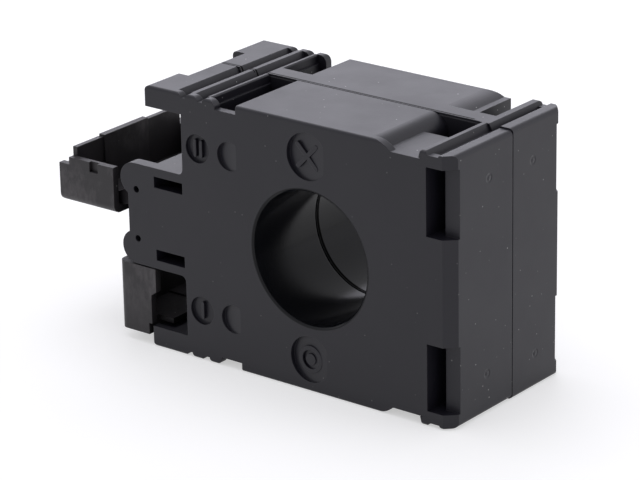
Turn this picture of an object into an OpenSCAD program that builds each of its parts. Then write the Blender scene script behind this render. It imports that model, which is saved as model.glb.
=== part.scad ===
// Feed-through current transformer in a two-part moulded case, lying on its side.
// The bore runs along Y, the mounting base faces +X, the terminals face -X and +Z is up.
// The origin is on the bore axis, halfway through the depth.  All sizes are in millimetres.

/* [Case] */
// Width of the case across its side flanges
body_w = 45; // [44:0.5:47]
// Depth of the front half shell
front_d = 16; // [15:0.5:20]
// Depth of the rear half shell
rear_d = 14; // [13.5:0.5:20]
// Distance from the bore axis to the mounting base
base_x = 27.5; // [27.5:0.5:32]
// Distance from the bore axis to the tip of the terminal nose
nose_x = 37.4; // [37:0.1:39]
// Thickness of the moulded walls
wall = 1.4; // [1.1:0.1:1.7]
// Width of the shadow line between the half shells
seam_w = 0.2; // [0.1:0.05:0.4]
// Depth of the grooves along the flanges
groove_d = 1.2; // [0.6:0.1:1.4]

/* [Bore] */
// Diameter of the bore that the conductor passes through
bore_d = 22.5; // [18:0.5:23]
// Chamfer at both mouths of the bore
bore_lip = 0.25; // [0.1:0.05:0.4]
// Width of the shadow line inside the bore
bore_seam_w = 0.35; // [0.2:0.05:0.5]

/* [Core housing] */
// Radial room for the core and its layers
chamber_t = 7.75; // [6.5:0.05:8.2]
// Distance from the bore axis to the terminal-side end of the flat over the core
flat_l = 14.3; // [12:0.1:15.5]
// Distance from the bore axis to the base-side end of the flat over the core
flat_r = 15.1; // [13:0.1:16]
// Corner radius at the base-side end of the flat
flat_corner_r = 3; // [1:0.5:5]
// Width of the bridge that joins the flanges to the core housing
bridge_w = 3.6; // [2.5:0.1:5]
// Drop of the front ledge between a flange and the core housing
ledge_drop = 1.4; // [0.5:0.1:2.5]

/* [Terminal end] */
// Distance from the bore axis to the floor of the terminal compartments
term_x = 25.6; // [25.4:0.1:26.5]
// Width of the centre block between the compartments
centre_w = 17.4; // [16.8:0.1:18]
// Clear width of each terminal compartment
comp_w = 10.3; // [10:0.1:10.6]
// Distance from the bore axis to the ends of the flange tabs
tab_x = 33; // [32.4:0.1:34]
// How far the tabs stand out past the middle of the flange
tab_out = 2.6; // [1.5:0.1:3]
// Length of each flange tab along the depth
tab_l = 7.8; // [5:0.1:9]

/* [Covers] */
// Height of a terminal cover from its rim to its outside
cover_h = 8; // [7.4:0.1:8.4]
// Thickness of the cover walls
cover_t = 1.2; // [1:0.1:1.4]
// Distance from the hinge axis to the outside of the shut cover
hinge_out = 4.85; // [4.7:0.05:5.2]
// Diameter of the hinge pins
pin_d = 2.5; // [2:0.1:2.8]
// Opening angle of the upper cover
upper_open = 90; // [0:5:90]
// Opening angle of the lower cover
lower_open = 0; // [0:5:60]

/* [Foot slots] */
// Width of each slot for a push-in mounting foot
slot_w = 2.1; // [1.5:0.1:2.3]
// Length of each slot
slot_l = 11.2; // [6:0.2:11.6]
// Depth of each slot from the face of the case
slot_d = 9; // [4:0.5:12]

/* [Core and winding] */
// Thickness of the tape around the winding
tape_t = 0.3; // [0.2:0.05:0.5]
// Thickness of the secondary winding
winding_t = 0.9; // [0.5:0.1:1.2]
// Thickness of the insulating core cups
cup_t = 0.7; // [0.5:0.1:0.9]
// Diameter of the winding leads
lead_d = 0.9; // [0.6:0.1:1.1]

/* [Terminals] */
// Thickness of the terminal plates
plate_t = 1.2; // [0.8:0.1:1.6]
// Width of the terminal plates
plate_w = 8; // [7.6:0.1:9]
// Length of the terminal plates along the depth
plate_l = 19; // [18:0.5:22]
// Distance between the two clamp screws on a plate
screw_pitch = 10.4; // [9:0.1:11]
// Thread diameter of the clamp screws
screw_d = 3.9; // [3:0.1:4]
// Side of the square clamp washers
washer_w = 7.2; // [6.6:0.1:7.4]

/* [Hidden] */

$fn = 72;
eps = 0.01;                        // overlap that lets a cut run past a face
case_black = "#353538";
cover_black = "#3b3b3e";

// Case: planes and radii worked out from the sizes above
half_w = body_w/2;
y_front = -(front_d + rear_d)/2;
y_rear = (front_d + rear_d)/2;
seam_y = y_front + front_d;
bore_r = bore_d/2;
tube_r = bore_r + wall;            // outside of the tube round the bore
barrel_ri = tube_r + chamber_t;    // inside of the round wall over the core
barrel_r = barrel_ri + wall;
notch_z = half_w - 4.5;            // floor of the notches in the rear face
rear_drop = 0.8;                   // drop of the ledge beside the rear corner
ledge_l = 10.5;                    // depth of the base-side front ledge
seam_depth = 0.4;
edge_r = 0.8;                      // rounding of the flange edges
fillet_r = 0.5;                    // rounding along the front and rear edges
face_groove_d = 0.6;               // depth of the base-side groove in the faces
rib_c = 0.2;                       // broken corners of the ribs between the grooves
front_drop = 0.25;                 // drop of the outermost rib on the front half shell

// Terminal end
centre_z = centre_w/2;             // side of the centre block
comp_z = centre_z + comp_w/2;      // middle of a compartment
flange_z = centre_z + comp_w;      // underside of the flange
flange_x = tab_x - tab_out;
rib_x = term_x - 5.4;              // pocket-side face of the last flange rib
pocket_x = rib_x - 1.2;            // where the filling of the corner pockets' ends starts
corner_r = 1;                      // rounding beside the centre block
cheek_t = 2.1;                     // wall that carries the hinge pins
block_x = nose_x - 4.7;            // hinge-side face of the centre block
web_z = 1.2;                       // half the height of the web behind the nose
ear_r = 2.84;                      // round ears at the corners of the nose
ear_x = nose_x - 1.3;
ear_z = centre_z - ear_r;

// Hinge
hinge_x = nose_x - 2.1;
hinge_z = 3.7;
pin_r = pin_d/2;
pin_gap = 0.05;
pin_l = 1;
socket_l = pin_l + 0.2;
arm_gap = 0.15;
arm_t = 1.6;
eye_r = pin_r + 0.75;
cover_gap = 0.25;                  // gap between the covers and the centre block
near_v = centre_z + cover_gap - hinge_z;
far_v = half_w - 1.75 - hinge_z;
snap_t = 0.9;                      // lip that snaps under the flange
snap_h = 1.4;                      // how far the lip stands above the rim
cover_r = 1.4;                     // rounding of the cover's upright edges
snap_gap = 0.1;
lip_out = hypot_at(flange_z - snap_gap - hinge_z, cover_h - hinge_out + snap_h, hinge_x - tab_x) + 0.1;

// Base end
slot_x = base_x - 2.7;             // base-side edge of the slots
slot_z = half_w - 2.5;             // outer end of the slots
slot_step = 2.1;                   // how far the base wall stands back beside a slot
inner_rib_x = base_x - 6.2;

// Core stack: the distance of each layer from the walls of the core chamber
stack_gap = 0.25;
layer_gap = 0.1;
tape_o = stack_gap;
winding_o = tape_o + tape_t + layer_gap;
cup_o = winding_o + winding_t + layer_gap;
core_o = cup_o + cup_t + layer_gap;

// Terminals
washer_t = 1;
head_r = 3.1;
head_h = 2.3;
thread_gap = 0.1;
tail_w = 3;
tail_z = comp_z - 2.4;
tail_end_x = term_x - wall - 0.9;
lead_z = 6;                        // where the leads pass through the round wall
bay_z = tail_z + 1.55;             // half the height of the bay for the leads
floor_z = bay_z + 1.5;             // floor of the corner pockets

// Marks
mark_d = 0.6;                      // depth of the round mark recesses
mark_x = term_x - 3.3;
mark_z = comp_z;
dent_x = mark_x - 6.5;             // round dents beside the mark recesses
dent_z = (half_w + bore_r)/2 + 0.1;

// Reach of the corner (v, u) about the hinge when it has turned until its height is w
function hypot_at(v, u, w) = sqrt(v*v + u*u - w*w);

// ---------- helpers ----------

// Extrudes a profile drawn in the X-Z plane between two depths
module slab(y0, y1) {
    translate([0, y1, 0]) rotate([90, 0, 0]) linear_extrude(y1 - y0) children();
}

module both_sides_2d() {
    children();
    mirror([0, 1]) children();
}

// Cylinder along Y between two depths
module rod_y(x, z, r, y0, y1) {
    translate([x, y0, z]) rotate([-90, 0, 0]) cylinder(r = r, h = y1 - y0);
}

// Cylinder along X between two places
module rod_x(y, z, r, x0, x1) {
    translate([x0, y, z]) rotate([0, 90, 0]) cylinder(r = r, h = x1 - x0);
}

// Round wire between two points in the X-Z plane at depth y
module wire(a, b, r, y) {
    run = b - a;
    translate([a[0], y, a[1]]) rotate([0, atan2(run[0], run[1]), 0]) cylinder(r = r, h = norm(run));
}

// Box given by its corners
module box(a, b) {
    translate(a) cube(b - a);
}

// Ridge of a flange: flat on top, with its two upper corners rounded
module ridge_2d(x0, x1, r0, r1, drop = 0) {
    top_z = half_w - drop;
    translate([x0, 0]) square([x1 - x0, top_z - max(r0, r1)]);
    translate([x0 + r0, 0]) square([x1 - x0 - r0 - r1, top_z]);
    translate([x0, 0]) square([r0 + eps, top_z - r0]);
    translate([x1 - r1 - eps, 0]) square([r1 + eps, top_z - r1]);
    translate([x0 + r0, top_z - r0]) circle(r = r0);
    translate([x1 - r1, top_z - r1]) circle(r = r1);
}

// Rib between two grooves: its flanks slope outwards and its upper corners are broken
module rib_2d(x0, x1, run0, run1) {
    foot_z = half_w - groove_d - 0.1;
    polygon([[x0 - run0, foot_z], [x0, half_w - rib_c], [x0 + rib_c, half_w],
             [x1 - rib_c, half_w], [x1, half_w - rib_c], [x1 + run1, foot_z]]);
}

// ---------- profiles of the case, drawn in the X-Z plane ----------

// Flat over the core with its base-side corners rounded
module flat_2d(x1, r) {
    translate([-flat_l, -half_w]) square([flat_l + x1 - r, body_w]);
    translate([0, r - half_w]) square([x1, body_w - 2*r]);
    both_sides_2d() translate([x1 - r, half_w - r]) circle(r = r);
}

// Flat over the rear half of the core, with a wide corner that ends in a ledge
module rear_flat_2d() {
    r = 8.6;
    x1 = flat_r + 2.25;
    translate([-flat_l, -half_w]) square([flat_l + flat_r - 2.6, body_w]);
    translate([0, rear_drop - half_w]) square([x1, body_w - 2*rear_drop]);
    intersection() {
        both_sides_2d() translate([flat_r - 2.6, half_w - r]) circle(r = r);
        translate([0, -half_w]) square([x1, body_w]);
    }
}

// Ridged edge of the terminal-side flange in the faces of the case
module terminal_ridges_2d() {
    ridge_2d(-tab_x, 0.3 - term_x, edge_r, 1.2);
    ridge_2d(0.9 - term_x, 3.7 - term_x, 0.8, 1.2);
    ridge_2d(4.5 - term_x, 7.1 - term_x, 0.8, 1.3);
    translate([-tab_x + 1, 0]) square([tab_x - term_x + 5.1, half_w - 0.75]);
}

// Ridged edge of the terminal-side flange between the faces
module terminal_ribs_2d(front) {
    translate([-flange_x, flange_z]) square([flange_x - rib_x, half_w - groove_d - flange_z]);
    wide_end = front ? -term_x - 1.2 : -term_x - 0.8;
    translate([-flange_x, flange_z]) square([1, half_w - flange_z]);
    rib_2d(0.5 - flange_x, wide_end, 0, 0.55);
    rib_2d(1.05 - term_x, 2.25 - term_x, 0.3, 0.5);
    rib_2d(-rib_x - 0.85, -rib_x, 0.3, 0);
}

// Ridged edge of the base-side flange
module base_ribs_2d(front) {
    rib_2d(inner_rib_x + 0.3, front ? inner_rib_x + 1.45 : inner_rib_x + 1.9, 0.3, 0.5);
    ridge_2d(base_x - 2.5, base_x, 0.3, edge_r, front ? front_drop : 0);
}

// Ends of the terminal nose: the cheeks with their hinge ears
module cheek_2d() {
    translate([-nose_x, -ear_z]) square([nose_x - term_x + 1, 2*ear_z]);
    translate([-ear_x, -centre_z]) square([ear_x - term_x + 1, centre_w]);
    both_sides_2d() translate([-ear_x, ear_z]) circle(r = ear_r);
}

// Outline of the closed front and rear faces
module face_2d(front) {
    if (front) flat_2d(flat_r + 2.5, 5);
    else rear_flat_2d();
    both_sides_2d() {
        difference() {
            union() {
                terminal_ridges_2d();
                translate([-tab_x, 0]) square([1, half_w - edge_r]);
            }
            translate([-tab_x - 1, 0]) square([tab_x + 1 - term_x, flange_z]);
        }
        base_ribs_2d(front);
        translate([inner_rib_x + 0.5, 0]) square([base_x - inner_rib_x - 2, half_w - face_groove_d]);
        translate([-pocket_x, 0]) square([pocket_x + inner_rib_x + 1, front ? half_w - ledge_drop : notch_z]);
        corner_web_2d();
    }
    translate([-term_x, -floor_z]) square([term_x + base_x, 2*floor_z]);
}

// Rounded corner between a compartment's floor and the centre block
module corner_web_2d() {
    arc = [for (a = [82:-12:10]) [corner_r*(cos(a) - 1), corner_r*(1 - sin(a))]];
    translate([-term_x, centre_z])
        polygon(concat([[0.5, -0.5], [-corner_r, -0.5], [-corner_r, 0]], arc, [[0, corner_r], [0.5, corner_r]]));
}

// Walls of the case between its front and rear faces
module walls_2d(front) {
    circle(r = barrel_r, $fn = 120);
    flat_2d(flat_r, flat_corner_r);
    translate([-term_x, -floor_z]) square([term_x + base_x, 2*floor_z]);
    both_sides_2d() {
        terminal_ribs_2d(front);
        base_ribs_2d(front);
        translate([-term_x, 0]) square([term_x - rib_x, half_w - groove_d]);
        translate([-rib_x - wall, 0]) square([wall + 0.4, half_w - 1.5]);
        translate([inner_rib_x, 0]) square([base_x - inner_rib_x - 0.5, half_w - groove_d]);
    }
}

// Ring-shaped chamber that holds the core stack, shrunk by o on every side
module chamber(o) {
    rotate([90, 0, 0]) rotate_extrude($fn = 120)
        translate([tube_r + o, -y_rear + wall + o])
            square([barrel_ri - tube_r - 2*o, front_d + rear_d - 2*wall - 2*o]);
}

// ---------- the case ----------

// The closed case before it is parted at the seam, with the ribs of one of its half shells
module case_solid(front) {
    slab(y_front, y_front + wall) face_2d(true);
    slab(y_front + wall - eps, y_rear - wall + eps) walls_2d(front);
    slab(y_rear - wall, y_rear) face_2d(false);
    flange_tabs();
    base_side_ledge();
    for (y = [y_front, y_rear - cheek_t]) slab(y, y + cheek_t) cheek_2d();
    slab(y_front + wall, y_rear - wall) {
        translate([-block_x, -centre_z]) square([block_x - term_x + 1, centre_w]);
        translate([1.4 - nose_x, -web_z]) square([nose_x - block_x, 2*web_z]);
    }
    slab(seam_y + bridge_w/2, y_rear) rear_flat_2d();
    bridge();
}

// Tabs that stand out at both ends of the terminal-side flange
module flange_tabs() {
    for (side = [0, 1]) mirror([0, 0, side])
        for (span = [[y_front, y_front + tab_l], [y_rear - tab_l, y_rear]])
            slab(span[0], span[1]) {
                translate([-tab_x, flange_z]) square([tab_x - flange_x + 1, half_w - flange_z - edge_r]);
                translate([edge_r - tab_x, flange_z]) square([tab_x - flange_x, half_w - flange_z]);
                translate([edge_r - tab_x, half_w - edge_r]) circle(r = edge_r);
            }
}

// Ledge beside the core housing that closes the front part of the base-side pocket
module base_side_ledge() {
    slab(y_front, y_front + ledge_l) both_sides_2d()
        translate([flat_r - flat_corner_r, half_w - ledge_drop - wall])
            square([inner_rib_x - flat_r + flat_corner_r + 0.5, wall]);
}

// Narrow bridge across the corner pockets, just behind the seam
module bridge() {
    slab(seam_y, seam_y + bridge_w) both_sides_2d()
        translate([-rib_x - 0.3, floor_z - 1]) square([rib_x + inner_rib_x + 0.8, half_w - floor_z + 1]);
}

// Everything hollowed out of the closed case
module case_hollows() {
    chamber(0);
    rod_y(0, 0, bore_r, y_front - 1, y_rear + 1, $fn = 120);
    bore_chamfers();
    centre_hollow();
    lead_bay();
    base_hollows();
    hinge_sockets();
    lip_reliefs();
    base_chamfers();
    edge_fillets();
    for (side = [0, 1]) mirror([0, 0, side]) terminal_holes();
}

module bore_chamfers() {
    rotate([90, 0, 0]) rotate_extrude($fn = 120) for (side = [0, 1]) mirror([0, side])
        polygon([[bore_r - eps, y_rear - bore_lip], [bore_r + bore_lip, y_rear], [bore_r + bore_lip, y_rear + 1],
                 [bore_r - eps, y_rear + 1]]);
}

// Hollow centre block and the four windows in its faces
module centre_hollow() {
    window_x = [0.95 - block_x, 0.15 - term_x - 0.3];
    window_z = [5.35, 7.25];
    slab(y_front + cheek_t, y_rear - cheek_t)
        translate([window_x[0], -window_z[1]]) square([window_x[1] - window_x[0], 2*window_z[1]]);
    slab(y_front - 1, y_rear + 1) both_sides_2d()
        translate([window_x[0], window_z[0]])
            square([window_x[1] - window_x[0], window_z[1] - window_z[0]]);
}

// Bay between the core housing and the terminal wall, with two ways through the round wall
module lead_bay() {
    slab(y_front + wall, y_rear - wall) difference() {
        translate([wall - term_x, -bay_z]) square([10, 2*bay_z]);
        circle(r = barrel_r + eps, $fn = 120);
    }
    for (z = [-lead_z, lead_z])
        box([wall - term_x + 1, seam_y - 1.5, z - 1.5], [-17, seam_y + 1.5, z + 1.5]);
}

// Slots for push-in feet at the four corners of the base, and the hollow between them
module base_hollows() {
    for (y = [y_front - 1, y_rear - slot_d])
        slab(y, y + slot_d + 1) both_sides_2d()
            translate([slot_x - slot_w, slot_z - slot_l]) square([slot_w, slot_l]);
    for (y = [y_front - 1, y_rear - slot_step])
        slab(y, y + slot_step + 1) both_sides_2d()
            translate([slot_x - eps, slot_z - slot_l]) square([base_x - slot_x + 1, slot_l]);
    slab(y_front + wall, y_rear - wall)
        translate([slot_x - slot_w, wall + slot_l - slot_z]) square([slot_w, 2*(slot_z - slot_l - wall)]);
}

// Chamfers between the base and the front and rear faces
module base_chamfers() {
    run = 1.8;
    rise = 1.7;
    for (side = [0, 1]) mirror([0, side, 0]) translate([0, 0, -half_w - 1]) linear_extrude(body_w + 2)
        polygon([[base_x - run, y_front], [base_x - run, y_front - 1], [base_x + 1, y_front - 1],
                 [base_x + 1, y_front + rise], [base_x, y_front + rise]]);
}

// Rounds the long edges between the flanges and the front and rear faces
module edge_fillets() {
    for (side = [0, 1], face = [0, 1]) mirror([0, face, 0]) mirror([0, 0, side]) difference() {
        box([-tab_x - 1, y_front - 1, half_w - fillet_r], [base_x + 1, y_front + fillet_r, half_w + 1]);
        rod_x(y_front + fillet_r, half_w - fillet_r, fillet_r, -tab_x - 2, base_x + 2);
    }
}

// Relief under the flanges that the lips of the covers swing through
module lip_reliefs() {
    slab(y_front + wall - 0.1, y_rear - wall + 0.1) both_sides_2d()
        translate([-tab_x - 1, flange_z - eps]) square([tab_x + 1.6 - flange_x + 0.3, hinge_z + lip_out - flange_z]);
}

// Blind sockets for the hinge pins, each with a small hole through to the outside
module hinge_sockets() {
    for (side = [0, 1]) mirror([0, 0, side]) {
        for (face = [0, 1]) mirror([0, face, 0]) {
            rod_y(-hinge_x, hinge_z, pin_r + pin_gap, y_front + cheek_t - socket_l, y_front + cheek_t + eps);
            rod_y(-hinge_x - 0.3, hinge_z + 0.55, 0.57, y_front - 1, y_front + cheek_t, $fn = 24);
        }
    }
}

// Holes of one compartment: clearance for the screw tips and the slot for the plate's tail
module terminal_holes() {
    for (side = [-1, 1])
        rod_x(seam_y + side*screw_pitch/2, comp_z, screw_d/2 + 0.4, -term_x - 1, 0.6 - term_x + wall);
    box([-term_x - 1, seam_y - tail_w/2 - thread_gap, tail_z - plate_t/2 - thread_gap],
        [1 - term_x + wall, seam_y + tail_w/2 + thread_gap, tail_z + plate_t/2 + thread_gap]);
}

// Shadow line where the half shells meet
module seam_line() {
    y0 = seam_y - seam_w/2;
    y1 = seam_y + seam_w/2;
    slab(y0, y1) both_sides_2d()
        translate([-nose_x, half_w - seam_depth]) square([nose_x + inner_rib_x, 1]);
    box([base_x - seam_depth, y0, -half_w - 1], [base_x + 1, y1, half_w + 1]);
    rod_y(0, 0, bore_r + seam_depth, seam_y - bore_seam_w/2, seam_y + bore_seam_w/2, $fn = 120);
}

module whole_case(front) {
    difference() {
        case_solid(front);
        case_hollows();
        seam_line();
    }
}

// Round recesses for marks beside the bore and the terminals
module mark_recesses() {
    for (side = [0, 1]) mirror([0, 0, side]) {
        rod_y(-mark_x, mark_z, 2.4, y_front - 1, y_front + mark_d);
        sloped_dent(-0.2, dent_z, 3.9, 6, 0.35);
        sloped_dent(-dent_x, mark_z, 2.4, 10, 0.25);
    }
}

// Round dent whose floor rises towards the base
module sloped_dent(x, z, r, tilt, depth) {
    translate([x, y_front, z]) rotate([-90, 0, 0]) rotate([0, tilt, 0])
        translate([0, 0, -2]) cylinder(r = r, h = 2 + depth);
}

module front_shell() {
    color(case_black) difference() {
        intersection() {
            whole_case(true);
            box([-nose_x - 5, y_front - 1, -half_w - 1], [base_x + 1, seam_y, half_w + 1]);
        }
        mark_recesses();
    }
}

module rear_shell() {
    color(case_black) intersection() {
        whole_case(false);
        box([-nose_x - 5, seam_y, -half_w - 1], [base_x + 1, y_rear + 1, half_w + 1]);
    }
}

// ---------- terminal covers ----------

// Cover in its own frame: the hinge axis is the Y axis, the shut cover reaches up from it
module cover() {
    rim_u = cover_h - hinge_out;
    difference() {
        union() {
            box([-hinge_out, y_front, near_v], [cover_t - hinge_out, y_rear, far_v]);
            slab(y_front, y_front + cover_t) notched_wall_2d(rim_u);
            slab(y_rear - cover_t, y_rear) stepped_wall_2d(rim_u);
            end_wall(rim_u);
        }
        nicks(rim_u);
        cover_fillets();
    }
    for (side = [0, 1]) mirror([0, side, 0]) hinge_arm();
}

// Rounds the outer edges of the cover
module cover_fillets() {
    r = edge_r;
    difference() {
        box([-hinge_out - 1, y_front - 1, far_v - r], [r - hinge_out, y_rear + 1, far_v + 1]);
        rod_y(r - hinge_out, far_v - r, r, y_front - 2, y_rear + 2);
    }
    for (side = [0, 1]) mirror([0, side, 0]) difference() {
        box([-hinge_out - 1, y_front - 1, near_v - 1], [cover_r - hinge_out, y_front + cover_r, far_v + 1]);
        translate([cover_r - hinge_out, y_front + cover_r, near_v - 2])
            cylinder(r = cover_r, h = far_v - near_v + 4);
    }
}

// Side wall at the end that carries the nick, straight along its rim
module notched_wall_2d(rim_u) {
    translate([-hinge_out, near_v]) square([rim_u + hinge_out, far_v - near_v - 2.2]);
    translate([-hinge_out, near_v]) square([rim_u + hinge_out - 1.3, far_v - near_v]);
}

// Side wall at the other end, lower beside the flange so that wires can pass
module stepped_wall_2d(rim_u) {
    polygon([[-hinge_out, near_v], [rim_u, near_v], [rim_u, near_v + 4], [rim_u - 1.1, near_v + 4.8],
             [rim_u - 1.1, far_v - 2], [-hinge_out, far_v - 2]]);
    translate([-hinge_out, near_v]) square([rim_u + hinge_out - 1.75, far_v - near_v]);
}

// Blind nick and shallow dent in the outside of the side walls, for a screwdriver blade
module nicks(rim_u) {
    box([rim_u - 1.7, y_front - 1, 8.6], [rim_u + 1, y_front + cover_t/2, 10.4]);
    translate([rim_u - 1.9, y_rear + 1.8, near_v + 4.9]) sphere(r = 2, $fn = 96);
}

// End wall with the lip that snaps under the flange
module end_wall(rim_u) {
    lip_v = flange_z - snap_gap - hinge_z;
    box([-hinge_out, y_front, lip_v - snap_t], [rim_u - 1.75, y_rear, far_v]);
    box([-hinge_out + 1, y_front + wall + 0.1, lip_v - snap_t], [rim_u + snap_h, y_rear - 2.5, lip_v]);
    box([-hinge_out + 1, y_front + 8, lip_v - snap_t - 0.3], [rim_u + snap_h + 0.35, y_rear - 11, lip_v]);
}

// Arm from the outer wall of the cover to its hinge pin
module hinge_arm() {
    arm_y = y_front + cheek_t + arm_gap;
    difference() {
        union() {
            slab(arm_y, arm_y + arm_t) {
                circle(r = eye_r, $fn = 32);
                hull() {
                    translate([0.4 - eye_r, 0]) circle(r = 0.4, $fn = 32);
                    translate([0, 0.6]) circle(r = 0.9, $fn = 32);
                    translate([cover_t - hinge_out - 0.2, near_v + 0.2]) square([1.8, 1.6]);
                }
            }
            rod_y(0, 0, pin_r, arm_y - pin_l - arm_gap + eps, arm_y + eps);
        }
    }
}

module upper_cover_at(angle) {
    translate([-hinge_x, 0, hinge_z]) rotate([0, -angle, 0]) cover();
}

module s2_cover() {
    color(cover_black) upper_cover_at(upper_open);
}

module s1_cover() {
    color(cover_black) rotate([180, 0, 0]) upper_cover_at(lower_open);
}

// ---------- core and winding ----------

module core() {
    color("#8f9196") chamber(core_o);
}

module core_cups() {
    difference() {
        chamber(cup_o);
        chamber(cup_o + cup_t);
    }
}

module core_cup_front() {
    color("#d8d2c0") intersection() {
        core_cups();
        box([-barrel_r, y_front, -barrel_r], [barrel_r, -layer_gap/2, barrel_r]);
    }
}

module core_cup_rear() {
    color("#d8d2c0") intersection() {
        core_cups();
        box([-barrel_r, layer_gap/2, -barrel_r], [barrel_r, y_rear, barrel_r]);
    }
}

module winding() {
    color("#b4693a") difference() {
        chamber(winding_o);
        chamber(winding_o + winding_t);
    }
}

module winding_tape() {
    color("#d9b23c") difference() {
        chamber(tape_o);
        chamber(tape_o + tape_t);
    }
}

// ---------- terminals ----------

// Plate on the compartment floor, with a tail that carries the winding's lead
module plate() {
    difference() {
        union() {
            box([-term_x - plate_t, seam_y - plate_l/2, comp_z - plate_w/2],
                [-term_x, seam_y + plate_l/2, comp_z + plate_w/2]);
            box([-term_x - plate_t, seam_y - tail_w/2, tail_z - plate_t/2],
                [-tail_end_x, seam_y + tail_w/2, tail_z + plate_t/2]);
        }
        for (side = [-1, 1])
            rod_x(seam_y + side*screw_pitch/2, comp_z, screw_d/2 + thread_gap, -term_x - plate_t - 1, 1 - term_x);
    }
}

// Lead from the winding out through the round wall and along to the plate's tail
module lead() {
    lead_r = lead_d/2;
    tape_r = barrel_ri - tape_o + layer_gap/2;
    start = [-sqrt(tape_r*tape_r - (lead_z - lead_r)*(lead_z - lead_r)), lead_z];
    bend = [-tail_end_x + lead_r + 0.1, lead_z];
    end = [-tail_end_x + lead_r + 0.1, tail_z];
    wire(start, bend, lead_r, seam_y);
    wire(bend, end, lead_r, seam_y);
    translate([bend[0], seam_y, bend[1]]) sphere(r = lead_r, $fn = 24);
}

// Clamp screw with a slotted pan head, its tip towards the bore
module screw(side) {
    y = seam_y + side*screw_pitch/2;
    seat_x = -term_x - plate_t - washer_t;
    difference() {
        rod_x(y, comp_z, head_r, seat_x - head_h, seat_x);
        box([seat_x - head_h - 1, y - head_r - 1, comp_z - 0.4], [seat_x - head_h + 1.1, y + head_r + 1, comp_z + 0.4]);
        box([seat_x - head_h - 1, y - 0.4, comp_z - 1.7], [seat_x - head_h + 1.4, y + 0.4, comp_z + 1.7]);
    }
    rod_x(y, comp_z, screw_d/2, seat_x - eps, 0.6 - term_x);
}

// Square clamp washer under a screw head
module washer(side) {
    y = seam_y + side*screw_pitch/2;
    seat_x = -term_x - plate_t;
    difference() {
        box([seat_x - washer_t, y - washer_w/2, comp_z - washer_w/2], [seat_x, y + washer_w/2, comp_z + washer_w/2]);
        rod_x(y, comp_z, screw_d/2 + thread_gap, seat_x - 2*washer_t, seat_x + washer_t);
    }
}

module lower_side() {
    mirror([0, 0, 1]) children();
}

module s2_plate() { color("#c9b26a") plate(); }
module s1_plate() { color("#c9b26a") lower_side() plate(); }
module s2_lead() { color("#a8442f") lead(); }
module s1_lead() { color("#a8442f") lower_side() lead(); }
module s2_screw_front() { color("#b9bcc0") screw(-1); }
module s2_screw_rear() { color("#b9bcc0") screw(1); }
module s1_screw_front() { color("#b9bcc0") lower_side() screw(-1); }
module s1_screw_rear() { color("#b9bcc0") lower_side() screw(1); }
module s2_washer_front() { color("#b9bcc0") washer(-1); }
module s2_washer_rear() { color("#b9bcc0") washer(1); }
module s1_washer_front() { color("#b9bcc0") lower_side() washer(-1); }
module s1_washer_rear() { color("#b9bcc0") lower_side() washer(1); }

front_shell();
rear_shell();
s1_cover();
s2_cover();
core();
core_cup_front();
core_cup_rear();
winding();
winding_tape();
s1_plate();
s2_plate();
s1_lead();
s2_lead();
s1_screw_front();
s1_screw_rear();
s2_screw_front();
s2_screw_rear();
s1_washer_front();
s1_washer_rear();
s2_washer_front();
s2_washer_rear();
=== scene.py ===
"""Looks of a moulded feed-through current transformer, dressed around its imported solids.

Lengths are in millimetres in the object's own frame, and mm() turns them to metres.
The bore runs along Y, the mounting base faces +X, the terminals face -X and +Z is up.
"""

import logging
import math
from dataclasses import dataclass, field
from enum import Enum
from typing import Any

import bmesh
import bpy
from mathutils import Matrix, Vector


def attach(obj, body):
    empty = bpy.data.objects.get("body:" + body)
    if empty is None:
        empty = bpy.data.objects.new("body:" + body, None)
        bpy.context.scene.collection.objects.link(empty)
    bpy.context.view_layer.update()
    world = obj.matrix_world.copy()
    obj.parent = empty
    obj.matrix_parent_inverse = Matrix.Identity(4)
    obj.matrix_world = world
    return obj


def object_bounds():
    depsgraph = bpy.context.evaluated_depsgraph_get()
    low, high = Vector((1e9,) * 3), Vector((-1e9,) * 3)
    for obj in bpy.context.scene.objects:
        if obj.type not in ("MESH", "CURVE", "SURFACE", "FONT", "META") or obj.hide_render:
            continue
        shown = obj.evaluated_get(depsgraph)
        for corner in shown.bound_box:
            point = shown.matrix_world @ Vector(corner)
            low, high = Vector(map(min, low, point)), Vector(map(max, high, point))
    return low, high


log = logging.getLogger("current_transformer")
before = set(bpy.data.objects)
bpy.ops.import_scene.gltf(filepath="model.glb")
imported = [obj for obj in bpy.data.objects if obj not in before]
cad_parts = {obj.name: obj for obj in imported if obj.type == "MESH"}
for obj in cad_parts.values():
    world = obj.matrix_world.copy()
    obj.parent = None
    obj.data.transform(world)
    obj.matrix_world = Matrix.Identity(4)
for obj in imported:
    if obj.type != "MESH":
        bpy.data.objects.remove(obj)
CAD_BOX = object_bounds()

MM_PER_M = 1000.0
CASE_BODY = "case"

Flat = tuple[float, float]
Spot = tuple[float, float, float]
Tree = bpy.types.NodeTree
Socket = bpy.types.NodeSocket


def mm(value: float) -> float:
    """Returns a length in metres for one in millimetres."""
    return value / MM_PER_M


def linear(code: str) -> tuple[float, float, float, float]:
    """Turns an sRGB hex colour into the linear values that the shaders take.

    Args:
        code: Six hex digits, with or without a leading hash.

    Returns:
        Linear red, green and blue with an alpha of 1.
    """
    digits = code.lstrip("#")
    parts = [int(digits[i:i + 2], 16) / 255.0 for i in (0, 2, 4)]
    red, green, blue = [p / 12.92 if p <= 0.04045 else ((p + 0.055) / 1.055) ** 2.4 for p in parts]
    return (red, green, blue, 1.0)


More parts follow.
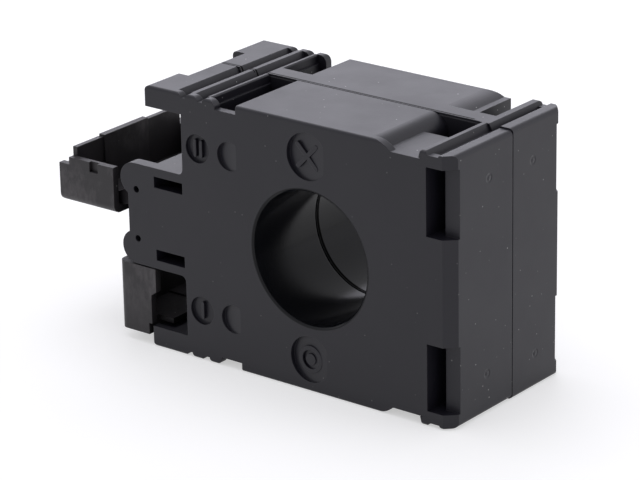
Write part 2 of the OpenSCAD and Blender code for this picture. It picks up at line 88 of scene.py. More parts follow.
def add(tree: Tree, kind: str, inputs: dict[Any, Any] | None = None,
        **settings: Any) -> bpy.types.Node:
    """Adds one node with its settings, its input values and its links.

    Args:
        tree: The node tree that receives the node.
        kind: Blender's name for the node type.
        inputs: Socket name or index to a value, or to the output socket that feeds it.
        **settings: Properties of the node itself.

    Returns:
        The new node.
    """
    made = tree.nodes.new(kind)
    for name, value in settings.items():
        setattr(made, name, value)
    for key, value in (inputs or {}).items():
        if isinstance(value, Socket):
            tree.links.new(value, made.inputs[key])
        else:
            made.inputs[key].default_value = value
    return made


def dress(nodes: tuple[str, ...], finish: bpy.types.Material) -> None:
    """Gives every material slot of the named solids one finish.

    Args:
        nodes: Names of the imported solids.
        finish: The material that they get.
    """
    for name in nodes:
        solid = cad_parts[name]
        if not solid.material_slots:
            solid.data.materials.append(finish)
        for slot in solid.material_slots:
            slot.material = finish
        log.info("%s wears %s", name, finish.name)


# ---------------------------------------------------------------- finishes


@dataclass(frozen=True)
class MouldedPlastic:
    """Glass-filled polyester out of a spark-eroded mould, or another moulding in other colours.

    To the eye it is mostly reflection: nearly black face on and pale grey at a low angle, under
    a fine, even satin.  Edges are slightly round and catch a thin line of light, narrow gaps
    lose gloss as painted shade, darker colour too where asked, and a few specks of dust lie on the
    faces.
    """

    name: str
    colour: str = "#17161d"
    worn_colour: str = "#4a4a4e"
    dust_colour: str = "#a9a8a6"
    # Near black of the painted shade line along the seam.
    seam_shade_colour: str = "#060606"
    ior: float = 1.47               # typical 1.5, matched down to the dull black of the case
    roughness: float = 0.42
    cloud_mm: float = 9.0           # patches in which the satin changes slowly
    cloud: float = 0.03             # how far the roughness changes between them
    noise_span: Flat = (0.3, 0.7)   # where most values of a noise lie
    grain_mm: float = 0.28          # real grain is 0.05 mm, drawn coarse enough to show
    grain_depth_mm: float = 0.008
    edge_mm: float = 0.16
    edge_span: Flat = (0.995, 0.86)  # cosines of the turn at which edge wear starts and is full
    edge_wear: float = 0.35
    scuffs: float = 0.0
    scuff_mm: float = 1.4
    scuff_patch_mm: float = 6.25
    scuff_draw: Spot = (1.0, 1.0, 0.45)  # scuffs run up and down, so they are longer that way
    scuff_span: Flat = (0.22, 0.42)
    scuff_roughness: float = 0.25
    dust: float = 0.5               # share of the cells that hold a speck
    dust_cell_mm: float = 1.7
    dust_mm: float = 0.13           # real specks are 0.05 mm, drawn coarse enough to show
    dust_faintest: float = 0.1
    # Painted shade in narrow gaps: ambient occlusion takes away gloss, and colour where gap_shade
    # is below 1.
    gap_mm: float = 6.0             # width up to which a gap counts as narrow
    wear_open: Flat = (0.65, 0.9)   # share of open sky at which wear starts and is full
    gloss_open: Flat = (0.1, 0.6)   # the same for the reflections
    shade_open: Flat = (0.15, 0.5)  # the same for the colour
    gap_gloss: float = 0.12
    open_gloss: float = 0.405
    gap_shade: float = 1.0          # how much of the colour is left deep in a gap, as painted shade
    # Painted shade along the seam between the shells: a near black line with little gloss, wider in
    # the bore.
    seam_at_mm: float | None = None
    seam_line_mm: float = 0.17      # half the width of the painted shade line on the housing
    seam_above_mm: float = 20.0     # the line lies beyond this height, up and down
    seam_before_mm: float = 20.0    # and ends here on its way to the base
    seam_shade_gloss: float = 0.05
    bore_r_mm: float | None = None
    bore_fade_mm: float = 0.15
    bore_line_mm: float = 0.26      # half the width of the painted shade line inside the bore
    bore_roughness: float = 0.16    # a polished core pin forms the bore
    # Painted shade in the bore: less gloss and a darker colour, with a blue tint as painted
    # reflection.
    bore_shade_gloss: float = 0.48
    bore_shade_colour: str = "#0c0d11"
    gate_marks: tuple[Spot, ...] = ()
    gate_r_mm: float = 0.5
    gate_line_mm: float = 0.35
    gate_depth: float = 15.0        # in depths of the grain

    def build(self) -> bpy.types.Material:
        """Builds the material on object coordinates, so that it holds at every size.

        Returns:
            The material.
        """
        made = bpy.data.materials.new(self.name)
        made.use_nodes = True
        tree = made.node_tree
        shader = tree.nodes["Principled BSDF"]
        place = add(tree, "ShaderNodeTexCoord").outputs["Object"]
        real = add(tree, "ShaderNodeVectorMath", {0: place, 1: (MM_PER_M,) * 3},
                   operation="MULTIPLY").outputs[0]
        soft = add(tree, "ShaderNodeBevel", {"Radius": mm(self.edge_mm)}, samples=4).outputs[0]
        sky = add(tree, "ShaderNodeAmbientOcclusion", {"Distance": mm(self.gap_mm)},
                  samples=6).outputs["AO"]
        cloud = add(tree, "ShaderNodeTexNoise", {"Vector": real, "Scale": 1.0 / self.cloud_mm,
                                                 "Detail": 4.0, "Roughness": 0.6}).outputs["Fac"]
        rub = self._rub(tree, real)

        tint = add(tree, "ShaderNodeMix", {0: self._wear(tree, soft, sky, cloud, rub),
                                           6: linear(self.colour), 7: linear(self.worn_colour)},
                   data_type="RGBA").outputs[2]
        tint = add(tree, "ShaderNodeMix", {0: self._dust(tree, real), 6: tint,
                                           7: linear(self.dust_colour)},
                   data_type="RGBA").outputs[2]
        satin = add(tree, "ShaderNodeMapRange",
                    {0: cloud, 1: self.noise_span[0], 2: self.noise_span[1],
                     3: self.roughness - self.cloud, 4: self.roughness + self.cloud}).outputs[0]
        satin = add(tree, "ShaderNodeMath", {0: rub, 1: self.scuff_roughness, 2: satin},
                    operation="MULTIPLY_ADD").outputs[0]
        # Painted shade: narrow gaps lose their gloss, by ambient occlusion.
        gloss = add(tree, "ShaderNodeMapRange",
                    {0: sky, 1: self.gloss_open[0], 2: self.gloss_open[1],
                     3: self.gap_gloss, 4: self.open_gloss}).outputs[0]
        # Painted shade: the colour darkens deep in narrow gaps.
        if self.gap_shade < 1.0:
            lit = add(tree, "ShaderNodeMapRange",
                      {0: sky, 1: self.shade_open[0], 2: self.shade_open[1],
                       3: self.gap_shade, 4: 1.0}).outputs[0]
            tint = add(tree, "ShaderNodeVectorMath", {0: tint, 3: lit},
                       operation="SCALE").outputs[0]
        # The bore is smoother from its polished core pin, and darker and bluer as painted shade and
        # painted reflection.
        if self.bore_r_mm is not None:
            inside = self._in_bore(tree, real)
            satin = add(tree, "ShaderNodeMix",
                        {0: inside, 2: satin, 3: self.bore_roughness}).outputs[0]
            tint, gloss = self._cover_part(tree, inside, tint, gloss,
                                           self.bore_shade_colour, self.bore_shade_gloss)
        # Painted shade: a near black line along the seam, with little gloss.
        if self.seam_at_mm is not None:
            tint, gloss = self._cover_part(tree, self._seam_shade(tree, real), tint, gloss,
                                           self.seam_shade_colour, self.seam_shade_gloss)
        tree.links.new(tint, shader.inputs["Base Color"])
        tree.links.new(satin, shader.inputs["Roughness"])
        tree.links.new(gloss, shader.inputs["Specular IOR Level"])
        tree.links.new(self._relief(tree, real, soft), shader.inputs["Normal"])
        shader.inputs["IOR"].default_value = self.ior
        return made

    def _cover_part(self, tree: Tree, where: Socket, tint: Socket, gloss: Socket,
                    colour: str, gloss_left: float) -> tuple[Socket, Socket]:
        """Lays another colour over part of the surface and takes some of its gloss.

        Args:
            tree: The material's node tree.
            where: 1 on the part and 0 elsewhere.
            tint: The colour so far.
            gloss: The specular level so far.
            colour: The hex colour of the part.
            gloss_left: The share of the gloss that the part keeps.

        Returns:
            The new colour and the new specular level.
        """
        tint = add(tree, "ShaderNodeMix", {0: where, 6: tint, 7: linear(colour)},
                   data_type="RGBA").outputs[2]
        left = add(tree, "ShaderNodeMath", {0: where, 1: gloss_left - 1.0, 2: 1.0},
                   operation="MULTIPLY_ADD").outputs[0]
        gloss = add(tree, "ShaderNodeMath", {0: gloss, 1: left}, operation="MULTIPLY").outputs[0]
        return tint, gloss

    def _wear(self, tree: Tree, soft: Socket, sky: Socket, cloud: Socket,
              rub: Socket) -> Socket:
        """Makes the wear along edges and over faces, which spares what lies in a gap.

        Args:
            tree: The material's node tree.
            soft: The normal with rounded edges.
            sky: The share of open sky.
            cloud: The noise that breaks up the wear on edges.
            rub: The scuffs on the faces.

        Returns:
            The wear, from 0 to 1.
        """
        flat = add(tree, "ShaderNodeNewGeometry").outputs["Normal"]
        along = add(tree, "ShaderNodeVectorMath", {0: soft, 1: flat},
                    operation="DOT_PRODUCT").outputs["Value"]
        worn = add(tree, "ShaderNodeMapRange",
                   {0: along, 1: self.edge_span[0], 2: self.edge_span[1]}).outputs[0]
        worn = add(tree, "ShaderNodeMath", {0: worn, 1: cloud}, operation="MULTIPLY").outputs[0]
        worn = add(tree, "ShaderNodeMath", {0: worn, 1: self.edge_wear},
                   operation="MULTIPLY").outputs[0]
        worn = add(tree, "ShaderNodeMath", {0: worn, 1: rub}, operation="MAXIMUM").outputs[0]
        bare = add(tree, "ShaderNodeMapRange",
                   {0: sky, 1: self.wear_open[0], 2: self.wear_open[1]}).outputs[0]
        return add(tree, "ShaderNodeMath", {0: worn, 1: bare}, operation="MULTIPLY").outputs[0]

    def _rub(self, tree: Tree, real: Socket) -> Socket:
        """Makes patchy pale scuffs, broken up at two scales.

        Args:
            tree: The material's node tree.
            real: Object coordinates in millimetres.

        Returns:
            The scuffs, from 0 to their full strength.
        """
        broad = add(tree, "ShaderNodeTexNoise", {"Vector": real, "Scale": 1.0 / self.scuff_patch_mm,
                                                 "Detail": 2.0}).outputs["Fac"]
        drawn = add(tree, "ShaderNodeVectorMath", {0: real, 1: self.scuff_draw},
                    operation="MULTIPLY").outputs[0]
        fine = add(tree, "ShaderNodeTexNoise", {"Vector": drawn, "Scale": 1.0 / self.scuff_mm,
                                                "Detail": 8.0, "Roughness": 0.75}).outputs["Fac"]
        both = add(tree, "ShaderNodeMath", {0: broad, 1: fine}, operation="MULTIPLY").outputs[0]
        return add(tree, "ShaderNodeMapRange",
                   {0: both, 1: self.scuff_span[0], 2: self.scuff_span[1],
                    3: 0.0, 4: self.scuffs}).outputs[0]

    def _dust(self, tree: Tree, real: Socket) -> Socket:
        """Makes small pale specks, of uneven strength, in some cells of a random pattern.

        Args:
            tree: The material's node tree.
            real: Object coordinates in millimetres.

        Returns:
            The dust, from 0 to 1.
        """
        cells = add(tree, "ShaderNodeTexVoronoi",
                    {"Vector": real, "Scale": 1.0 / self.dust_cell_mm})
        reach = self.dust_mm / self.dust_cell_mm
        dot = add(tree, "ShaderNodeMapRange",
                  {0: cells.outputs["Distance"], 1: reach, 2: reach / 2}).outputs[0]
        pick = add(tree, "ShaderNodeSeparateColor", {0: cells.outputs["Color"]}).outputs
        kept = add(tree, "ShaderNodeMath", {0: pick[0], 1: self.dust},
                   operation="LESS_THAN").outputs[0]
        bright = add(tree, "ShaderNodeMapRange", {0: pick[1], 3: self.dust_faintest}).outputs[0]
        kept = add(tree, "ShaderNodeMath", {0: kept, 1: bright}, operation="MULTIPLY").outputs[0]
        return add(tree, "ShaderNodeMath", {0: dot, 1: kept}, operation="MULTIPLY").outputs[0]

    def _in_bore(self, tree: Tree, real: Socket) -> Socket:
        """Finds the wall of the bore.

        Args:
            tree: The material's node tree.
            real: Object coordinates in millimetres.

        Returns:
            1 on the wall of the bore and 0 elsewhere.
        """
        across = add(tree, "ShaderNodeVectorMath", {0: real, 1: (1.0, 0.0, 1.0)},
                     operation="MULTIPLY").outputs[0]
        reach = add(tree, "ShaderNodeVectorMath", {0: across}, operation="LENGTH").outputs["Value"]
        return add(tree, "ShaderNodeMapRange",
                   {0: reach, 1: self.bore_r_mm + self.bore_fade_mm, 2: self.bore_r_mm}).outputs[0]

    def _seam_shade(self, tree: Tree, real: Socket) -> Socket:
        """Paints a thin dark line of shade along the seam, on the housing and in the bore.

        Args:
            tree: The material's node tree.
            real: Object coordinates in millimetres.

        Returns:
            1 on the line and 0 elsewhere.
        """
        parts = add(tree, "ShaderNodeSeparateXYZ", {0: real}).outputs
        off = add(tree, "ShaderNodeMath", {0: parts[1], 1: self.seam_at_mm},
                  operation="SUBTRACT").outputs[0]
        near = add(tree, "ShaderNodeMath", {0: off, 2: self.seam_line_mm},
                   operation="COMPARE").outputs[0]
        height = add(tree, "ShaderNodeMath", {0: parts[2]}, operation="ABSOLUTE").outputs[0]
        above = add(tree, "ShaderNodeMath", {0: height, 1: self.seam_above_mm},
                    operation="GREATER_THAN").outputs[0]
        before = add(tree, "ShaderNodeMath", {0: parts[0], 1: self.seam_before_mm},
                     operation="LESS_THAN").outputs[0]
        line = add(tree, "ShaderNodeMath", {0: near, 1: above}, operation="MULTIPLY").outputs[0]
        line = add(tree, "ShaderNodeMath", {0: line, 1: before}, operation="MULTIPLY").outputs[0]
        wide = add(tree, "ShaderNodeMath", {0: off, 2: self.bore_line_mm},
                   operation="COMPARE").outputs[0]
        wide = add(tree, "ShaderNodeMath", {0: wide, 1: self._in_bore(tree, real)},
                   operation="MULTIPLY").outputs[0]
        return add(tree, "ShaderNodeMath", {0: line, 1: wide}, operation="MAXIMUM").outputs[0]

    def _relief(self, tree: Tree, real: Socket, soft: Socket) -> Socket:
        """Makes the grain of the mould and the sunk rings that gates and ejector pins leave.

        Args:
            tree: The material's node tree.
            real: Object coordinates in millimetres.
            soft: The normal with rounded edges.

        Returns:
            The normal with its fine relief.
        """
        height = add(tree, "ShaderNodeTexNoise", {"Vector": real, "Scale": 1.0 / self.grain_mm,
                                                  "Detail": 2.0, "Roughness": 0.5}).outputs["Fac"]
        rings: Socket | None = None
        for spot in self.gate_marks:
            away = add(tree, "ShaderNodeVectorMath", {0: real, 1: spot},
                       operation="DISTANCE").outputs["Value"]
            off = add(tree, "ShaderNodeMath", {0: away, 1: self.gate_r_mm},
                      operation="SUBTRACT").outputs[0]
            off = add(tree, "ShaderNodeMath", {0: off}, operation="ABSOLUTE").outputs[0]
            ring = add(tree, "ShaderNodeMapRange",
                       {0: off, 1: 0.0, 2: self.gate_line_mm, 3: -1.0, 4: 0.0}).outputs[0]
            rings = ring if rings is None else add(tree, "ShaderNodeMath", {0: rings, 1: ring},
                                                   operation="MINIMUM").outputs[0]
        if rings is not None:
            height = add(tree, "ShaderNodeMath", {0: rings, 1: self.gate_depth, 2: height},
                         operation="MULTIPLY_ADD").outputs[0]
        return add(tree, "ShaderNodeBump", {"Strength": 1.0, "Distance": mm(self.grain_depth_mm),
                                            "Height": height, "Normal": soft}).outputs[0]


@dataclass(frozen=True)
class WorkedMetal:
    """Plated or rolled metal: a streaky or mottled gloss from the fine lines its tool leaves."""

    name: str
    colour: str
    dark_colour: str
    roughness: float
    line_mm: float
    stretch: Spot = (1.0, 1.0, 1.0)
    rings: bool = False
    ring_scale: float = 0.35        # wave scale that gives rings about one unit apart
    gloss_spread: float = 0.08
    line_depth_mm: float = 0.01

    def build(self) -> bpy.types.Material:
        """Builds the material: stretched noise for rolled sheet, rings for wound strip.

        Returns:
            The material.
        """
        made = bpy.data.materials.new(self.name)
        made.use_nodes = True
        tree = made.node_tree
        shader = tree.nodes["Principled BSDF"]
        place = add(tree, "ShaderNodeTexCoord").outputs["Object"]
        scale = tuple(MM_PER_M * s for s in self.stretch)
        real = add(tree, "ShaderNodeVectorMath", {0: place, 1: scale},
                   operation="MULTIPLY").outputs[0]
        if self.rings:
            lines = add(tree, "ShaderNodeTexWave",
                        {"Vector": real, "Scale": self.ring_scale / self.line_mm,
                         "Distortion": 0.4}, wave_type="RINGS", rings_direction="Y").outputs["Fac"]
        else:
            lines = add(tree, "ShaderNodeTexNoise",
                        {"Vector": real, "Scale": 1.0 / self.line_mm, "Detail": 3.0}).outputs["Fac"]
        tint = add(tree, "ShaderNodeMix",
                   {0: lines, 6: linear(self.dark_colour), 7: linear(self.colour)},
                   data_type="RGBA").outputs[2]
        satin = add(tree, "ShaderNodeMapRange",
                    {0: lines, 3: self.roughness + self.gloss_spread,
                     4: self.roughness - self.gloss_spread}).outputs[0]
        bump = add(tree, "ShaderNodeBump", {"Strength": 0.6, "Distance": mm(self.line_depth_mm),
                                            "Height": lines}).outputs[0]
        tree.links.new(tint, shader.inputs["Base Color"])
        tree.links.new(satin, shader.inputs["Roughness"])
        tree.links.new(bump, shader.inputs["Normal"])
        shader.inputs["Metallic"].default_value = 1.0
        return made


@dataclass(frozen=True)
class WoundCover:
    """Insulation or enamelled wire laid in turns round a ring: fine spokes that run to the bore."""

    name: str
    colour: str
    shade_colour: str
    roughness: float
    turns: float
    ior: float | None = None        # left at its default for bare or enamelled metal
    ridge_mm: float = 0.08

    def build(self) -> bpy.types.Material:
        """Builds the material, with a wave that goes round the bore's axis.

        Returns:
            The material.
        """
        made = bpy.data.materials.new(self.name)
        made.use_nodes = True
        tree = made.node_tree
        shader = tree.nodes["Principled BSDF"]
        place = add(tree, "ShaderNodeTexCoord").outputs["Object"]
        parts = add(tree, "ShaderNodeSeparateXYZ", {0: place}).outputs
        angle = add(tree, "ShaderNodeMath", {0: parts[0], 1: parts[2]},
                    operation="ARCTAN2").outputs[0]
        phase = add(tree, "ShaderNodeMath", {0: angle, 1: self.turns},
                    operation="MULTIPLY").outputs[0]
        wave = add(tree, "ShaderNodeMath", {0: phase}, operation="SINE").outputs[0]
        ridge = add(tree, "ShaderNodeMapRange", {0: wave, 1: -1.0, 2: 1.0}).outputs[0]
        tint = add(tree, "ShaderNodeMix",
                   {0: ridge, 6: linear(self.shade_colour), 7: linear(self.colour)},
                   data_type="RGBA").outputs[2]
        bump = add(tree, "ShaderNodeBump", {"Strength": 0.8, "Distance": mm(self.ridge_mm),
                                            "Height": ridge}).outputs[0]
        tree.links.new(tint, shader.inputs["Base Color"])
        tree.links.new(bump, shader.inputs["Normal"])
        shader.inputs["Roughness"].default_value = self.roughness
        if self.ior is None:
            shader.inputs["Metallic"].default_value = 1.0
        else:
            shader.inputs["IOR"].default_value = self.ior
        return made


# ---------------------------------------------------------------- the studio


@dataclass(frozen=True)
class Softbox:
    """A square lamp that faces the part."""

    name: str
    spot_mm: Spot
    size_mm: float
    watts: float
    tint: str

    def build(self) -> bpy.types.Object:
        """Places the lamp.

        Returns:
            The lamp object.
        """
        lamp = bpy.data.lights.new(self.name, "AREA")
        lamp.shape = "SQUARE"
        lamp.size = mm(self.size_mm)
        lamp.energy = self.watts
        lamp.color = linear(self.tint)[:3]
        made = bpy.data.objects.new(self.name, lamp)
        bpy.context.scene.collection.objects.link(made)
        made.location = Vector(self.spot_mm) / MM_PER_M
        made.rotation_mode = "QUATERNION"
        made.rotation_quaternion = made.location.to_track_quat("Z", "Y")
        return made


@dataclass
class Studio:
    """Camera, pale floor, pale surround and soft lamps."""

    azimuth_deg: float = 38.41
    elevation_deg: float = 20.78
    roll_deg: float = -1.07
    distance_mm: float = 515.36
    lens_mm: float = 185.5
    sensor_mm: float = 36.0
    aim_right_mm: float = 1.667
    aim_up_mm: float = 3.076
    front_mm: float = -15.0
    clip_m: Flat = (0.01, 20.0)
    floor_mm: float = 6000.0
    floor_colour: str = "#cfcfcf"
    floor_glow: float = 0.33
    floor_glow_seen: float = 0.5
    sky_colour: str = "#fafaff"
    sky: float = 0.55
    sky_seen: float = 1.0
    lamps: tuple[Softbox, ...] = (
        Softbox("overhead softbox", (-120.0, 60.0, 520.0), 420.0, 1.2, "#f8f7ff"),
        Softbox("back softbox", (-420.0, 520.0, 260.0), 420.0, 0.75, "#f2f0ff"),
        Softbox("right softbox", (560.0, 300.0, 240.0), 380.0, 0.6, "#fbf8ff"))

    def build(self) -> None:
        """Builds the whole studio, with the floor level with the lowest point of the part."""
        self._place_camera()
        self._lay_floor(float(CAD_BOX[0][2]))
        self._light()

    def _place_camera(self) -> None:
        """Places the camera square to the aim point, from its angles and its distance."""
        turn, tilt, roll = (math.radians(v)
                            for v in (self.azimuth_deg, self.elevation_deg, self.roll_deg))
        back = Vector((math.sin(turn) * math.cos(tilt), -math.cos(turn) * math.cos(tilt),
                       math.sin(tilt)))
        level = Vector((math.cos(turn), math.sin(turn), 0.0))
        upright = back.cross(level)
        right = level * math.cos(roll) + upright * math.sin(roll)
        up = upright * math.cos(roll) - level * math.sin(roll)
        aim = Vector((0.0, self.front_mm, 0.0)) + right * self.aim_right_mm + up * self.aim_up_mm
        where = (aim + back * self.distance_mm) / MM_PER_M
        facing = Matrix((right, up, back)).transposed().to_quaternion()
        lens = bpy.data.cameras.new("camera")
        lens.sensor_width = self.sensor_mm
        lens.lens = self.lens_mm
        lens.clip_start, lens.clip_end = self.clip_m
        made = bpy.data.objects.new("camera", lens)
        bpy.context.scene.collection.objects.link(made)
        made.matrix_world = Matrix.LocRotScale(where, facing, None)
        bpy.context.scene.camera = made
        log.info("camera placed")

    def _lay_floor(self, height: float) -> None:
        """Lays a matt floor under the part.

        Args:
            height: Height of the floor in metres.
        """
        mesh = bpy.data.meshes.new("floor")
        half = mm(self.floor_mm) / 2
        corners = [(x * half, y * half, height) for x, y in ((-1, -1), (1, -1), (1, 1), (-1, 1))]
        mesh.from_pydata(corners, [], [(0, 1, 2, 3)])
        floor = bpy.data.objects.new("floor", mesh)
        bpy.context.scene.collection.objects.link(floor)
        made = bpy.data.materials.new("pale floor")
        made.use_nodes = True
        tree = made.node_tree
        shader = tree.nodes["Principled BSDF"]
        shader.inputs["Roughness"].default_value = 1.0
        shader.inputs["Specular IOR Level"].default_value = 0.0
        shader.inputs["Base Color"].default_value = linear(self.floor_colour)
        shader.inputs["Emission Color"].default_value = linear("#ffffff")
        glow = add(tree, "ShaderNodeMix", {0: self._seen(tree), 2: self.floor_glow,
                                           3: self.floor_glow_seen}).outputs[0]
        tree.links.new(glow, shader.inputs["Emission Strength"])
        mesh.materials.append(made)
        log.info("floor laid")

    def _light(self) -> None:
        """Adds the pale surround and the lamps."""
        world = bpy.data.worlds.new("pale surround")
        bpy.context.scene.world = world
        world.use_nodes = True
        tree = world.node_tree
        surround = tree.nodes["Background"]
        surround.inputs["Color"].default_value = linear(self.sky_colour)
        level = add(tree, "ShaderNodeMix", {0: self._seen(tree), 2: self.sky,
                                            3: self.sky_seen}).outputs[0]
        tree.links.new(level, surround.inputs["Strength"])
        for lamp in self.lamps:
            lamp.build()
            log.info("%s placed", lamp.name)

    def _seen(self, tree: Tree) -> Socket:
        """Tells what is seen straight on, in a gloss or through glass from what only lights.

        Args:
            tree: The node tree of the floor or the surround.

        Returns:
            1 where it is seen and 0 where it only lights.
        """
        path = add(tree, "ShaderNodeLightPath").outputs
        seen = add(tree, "ShaderNodeMath", {0: path["Is Camera Ray"], 1: path["Is Glossy Ray"]},
                   operation="MAXIMUM").outputs[0]
        return add(tree, "ShaderNodeMath", {0: seen, 1: path["Is Transmission Ray"]},
                   operation="MAXIMUM").outputs[0]


# ---------------------------------------------------------------- sub-assemblies


@dataclass
class Case:
    """The two half shells, with the polished bore darkened and tinted blue by painted shade and
    painted reflection, the painted shade line along the seam and the gate marks in the base.
    """

    shells: tuple[tuple[str, str], ...] = (("front_shell", "#17161d"), ("rear_shell", "#1b1a20"))
    seam_mm: float = 1.0
    bore_r_mm: float = 11.6
    gate_spots: tuple[Spot, ...] = (
        (27.5, 6.4, 15.9), (27.5, -5.3, 16.4), (27.5, -5.8, -15.7), (27.5, 7.3, -16.7))

    def build(self) -> None:
        """Dresses both half shells; the rear one is a touch paler."""
        for node, colour in self.shells:
            finish = MouldedPlastic(f"black moulded {node}", colour=colour,
                                    bore_r_mm=self.bore_r_mm, seam_at_mm=self.seam_mm,
                                    gate_marks=self.gate_spots)
            dress((node,), finish.build())


@dataclass
class Covers:
    """Both terminal covers."""

    nodes: tuple[str, ...] = ("s1_cover", "s2_cover")

    def build(self) -> None:
        """Dresses both covers, which fingers have rubbed paler and more patchy than the case."""
        # Deep in their gaps the covers get painted shade: much less gloss and a darker colour.
        finish = MouldedPlastic("black moulded cover", colour="#252325", worn_colour="#625e60",
                                roughness=0.46, scuffs=0.6, scuff_mm=1.0, dust=0.4, gap_mm=12.0,
                                gap_gloss=0.04, gap_shade=0.3)
        dress(self.nodes, finish.build())


class Sign(Enum):
    """Plain signs that stand in the round recesses."""

    CROSS = "cross"
    DOT_IN_RING = "dot in ring"
    ONE_BAR = "one bar"
    TWO_BARS = "two bars"


@dataclass
class RaisedSign:
    """One plain raised sign, moulded flush with the front face inside its recess."""

    name: str
    sign: Sign
    centre_mm: Flat
    reach_mm: float
    stroke_mm: float
    base_mm: float = -14.15
    top_mm: float = -14.95
    ease_mm: float = 0.06
    dot_per_stroke: float = 1.4
    shift_per_stroke: float = 1.1
    end_steps: int = 8
    ring_steps: int = 48

    def build(self, finish: bpy.types.Material) -> bpy.types.Object:
        """Builds the sign's strokes as one mesh with softened edges.

        Args:
            finish: The moulded plastic of the case.

        Returns:
            The sign, riding on the case.
        """
        work = bmesh.new()
        if self.sign is Sign.CROSS:
            self._cross(work)
        elif self.sign is Sign.DOT_IN_RING:
            self._ring(work, self.reach_mm, self.reach_mm - self.stroke_mm)
            self._ring(work, self.stroke_mm * self.dot_per_stroke)
        elif self.sign is Sign.ONE_BAR:
            self._bar(work, 0.0)
        else:
            for side in (-1, 1):
                self._bar(work, side * self.stroke_mm * self.shift_per_stroke)
        mesh = bpy.data.meshes.new(self.name)
        work.to_mesh(mesh)
        work.free()
        made = bpy.data.objects.new(self.name, mesh)
        bpy.context.scene.collection.objects.link(made)
        mesh.materials.append(finish)
        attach(made, CASE_BODY)
        log.info("%s built as %s", self.name, self.sign.value)
        return made

    def _raise(self, work: bmesh.types.BMesh, outline: list[Flat],
               inner: list[Flat] | None = None) -> None:
        """Raises a closed outline, or the band between two, from the recess to the face.

        Args:
            work: The mesh that grows.
            outline: Points of the outer edge, as X and Z in millimetres.
            inner: Points of the inner edge, as many as the outer, where the middle is open.
        """
        middle = (sum(p[0] for p in outline) / len(outline),
                  sum(p[1] for p in outline) / len(outline))
        levels = ((self.base_mm, 0.0), (self.top_mm + self.ease_mm, 0.0),
                  (self.top_mm, self.ease_mm))
        outer = [self._loop(work, outline, middle, y, s) for y, s in levels]
        holes = [self._loop(work, inner, middle, y, -s) for y, s in levels] if inner else []
        count = len(outline)
        for stack in (outer, holes):
            for low, high in zip(stack, stack[1:]):
                for i in range(count):
                    j = (i + 1) % count
                    work.faces.new((low[i], low[j], high[j], high[i]))
        for end in (0, -1):
            if not inner:
                work.faces.new(outer[end])
                continue
            for i in range(count):
                j = (i + 1) % count
                work.faces.new((outer[end][i], outer[end][j], holes[end][j], holes[end][i]))
        bmesh.ops.recalc_face_normals(work, faces=work.faces[:])

    def _loop(self, work: bmesh.types.BMesh, points: list[Flat], middle: Flat, depth: float,
              shrink: float) -> list[bmesh.types.BMVert]:
        """Makes one closed loop of vertices at a depth, drawn in towards the middle.

        Args:
            work: The mesh that grows.
            points: The loop, as X and Z in millimetres.
            middle: The point that it is drawn in towards.
            depth: Its Y in millimetres.
            shrink: How far it is drawn in, in millimetres.

        Returns:
            The new vertices, in order.
        """
        made = []
        for x, z in points:
            keep = 1.0 - shrink / (math.hypot(x - middle[0], z - middle[1]) or 1.0)
            made.append(work.verts.new((mm(middle[0] + (x - middle[0]) * keep), mm(depth),
                                        mm(middle[1] + (z - middle[1]) * keep))))
        return made

    def _at(self, radius: float, turn_deg: float) -> Flat:
        """Returns the point at a distance and an angle from the sign's centre."""
        turn = math.radians(turn_deg)
        return (self.centre_mm[0] + radius * math.cos(turn),
                self.centre_mm[1] + radius * math.sin(turn))

    def _stroke_end(self, turn_deg: float, shift: float = 0.0) -> list[Flat]:
        """Makes the round end of a stroke that points away from the sign's centre.

        Args:
            turn_deg: Direction of the stroke, counted from +X to +Z.
            shift: How far the stroke lies to the +X side of the centre.

        Returns:
            Points as X and Z in millimetres, in the order of the turn.
        """
        side = self.stroke_mm / 2
        x, z = self._at(self.reach_mm - side, turn_deg)
        points = []
        for step in range(self.end_steps + 1):
            turn = math.radians(turn_deg - 90.0 + 180.0 * step / self.end_steps)
            points.append((x + shift + side * math.cos(turn), z + side * math.sin(turn)))
        return points

    def _bar(self, work: bmesh.types.BMesh, shift: float) -> None:
        """Adds an upright stroke with round ends, moved to the +X side by a shift."""
        self._raise(work, self._stroke_end(90.0, shift) + self._stroke_end(270.0, shift))

    def _cross(self, work: bmesh.types.BMesh) -> None:
        """Adds two crossed strokes as one outline, so that no faces lie inside one another.

        Args:
            work: The mesh that grows.
        """
        points = []
        for turn in (45.0, 135.0, 225.0, 315.0):
            points += self._stroke_end(turn)
            points.append(self._at(self.stroke_mm / math.sqrt(2.0), turn + 45.0))
        self._raise(work, points)

    def _ring(self, work: bmesh.types.BMesh, outer_mm: float, inner_mm: float = 0.0) -> None:
        """Adds a round band, or a dot where the inner radius is nought.

        Args:
            work: The mesh that grows.
            outer_mm: The outer radius.
            inner_mm: The inner radius.
        """
        turns = [360.0 * k / self.ring_steps for k in range(self.ring_steps)]
        hole = [self._at(inner_mm, t) for t in turns] if inner_mm > 0 else None
        self._raise(work, [self._at(outer_mm, t) for t in turns], hole)


@dataclass
class Signs:
    """All raised signs on the front face."""

    signs: list[RaisedSign] = field(default_factory=lambda: [
        RaisedSign("sign_above_bore", Sign.CROSS, (-0.2, 17.0), 2.9, 0.75),
        RaisedSign("sign_below_bore", Sign.DOT_IN_RING, (-0.2, -17.0), 2.3, 0.7),
        RaisedSign("sign_upper_terminal", Sign.TWO_BARS, (-22.3, 13.85), 1.5, 0.55),
        RaisedSign("sign_lower_terminal", Sign.ONE_BAR, (-22.3, -13.85), 1.5, 0.55)])

    def build(self) -> None:
        """Builds each sign in the plastic of the case, free of dust and bright at its edges."""
        finish = MouldedPlastic("black moulded sign", edge_wear=0.5, dust=0.0).build()
        for sign in self.signs:
            sign.build(finish)


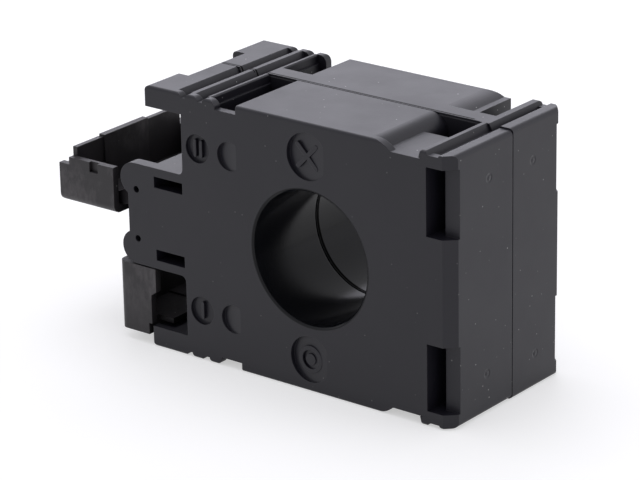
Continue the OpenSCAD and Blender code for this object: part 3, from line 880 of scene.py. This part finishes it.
@dataclass
class CoreStack:
    """Core, insulating cups, winding and tape, which the closed case hides."""

    core: tuple[str, ...] = ("core",)
    cups: tuple[str, ...] = ("core_cup_front", "core_cup_rear")
    winding: tuple[str, ...] = ("winding",)
    tape: tuple[str, ...] = ("winding_tape",)

    def build(self) -> None:
        """Dresses each layer of the stack."""
        # Wound strip of 0.3 mm: dull grey with a fine ring for each layer.
        dress(self.core, WorkedMetal("wound silicon-steel strip", "#9a9ca0", "#6d6f73", 0.38,
                                     0.3, rings=True).build())
        # Unfilled moulding: milky cream with a soft gloss.
        dress(self.cups, MouldedPlastic("natural moulded polyamide", colour="#d8d2bf",
                                        worn_colour="#c8c0aa", ior=1.53, roughness=0.5,
                                        dust=0.0, edge_wear=0.2).build())
        # Bright red-brown spokes.  Real wire is thinner, drawn as 240 turns so that they show.
        dress(self.winding, WoundCover("enamelled copper wire", "#b8683a", "#6d3417", 0.3,
                                       240.0).build())
        # Glossy yellow film, with a step wherever one of its 14 turns laps the last.
        dress(self.tape, WoundCover("polyester tape", "#d8b13c", "#b08a22", 0.35, 14.0,
                                    ior=1.6).build())


@dataclass
class Terminals:
    """Terminal plates, clamp screws, washers and leads behind the covers."""

    sides: tuple[str, ...] = ("s1", "s2")

    def build(self) -> None:
        """Dresses the pieces of both terminals."""
        plates = tuple(f"{side}_plate" for side in self.sides)
        leads = tuple(f"{side}_lead" for side in self.sides)
        small = tuple(f"{side}_{kind}_{end}" for side in self.sides
                      for kind in ("screw", "washer") for end in ("front", "rear"))
        # Warm yellow with streaks along the rolling.  Real lines are 0.02 mm, drawn at 0.25 mm.
        dress(plates, WorkedMetal("rolled brass", "#c9ab62", "#a98a45", 0.3, 0.25,
                                  (1.0, 0.08, 1.0)).build())
        # Cool, slightly mottled silver grey.  Real crystals are finer, drawn at 0.4 mm.
        dress(small, WorkedMetal("zinc-plated steel", "#c4c6c8", "#9b9da0", 0.32, 0.4).build())
        # Smooth red sleeve with the soft gloss of extruded insulation.
        dress(leads, MouldedPlastic("red insulated lead", colour="#8c2a1e",
                                    worn_colour="#a8483a", ior=1.5, roughness=0.38,
                                    dust=0.0).build())


def main() -> None:
    """Builds the studio and every sub-assembly in order."""
    bpy.context.scene.view_settings.view_transform = "Standard"
    for part in (Studio(), Case(), Covers(), Signs(), CoreStack(), Terminals()):
        part.build()
        log.info("%s done", type(part).__name__)


if __name__ == "__main__":
    logging.basicConfig(level=logging.INFO)
    main()
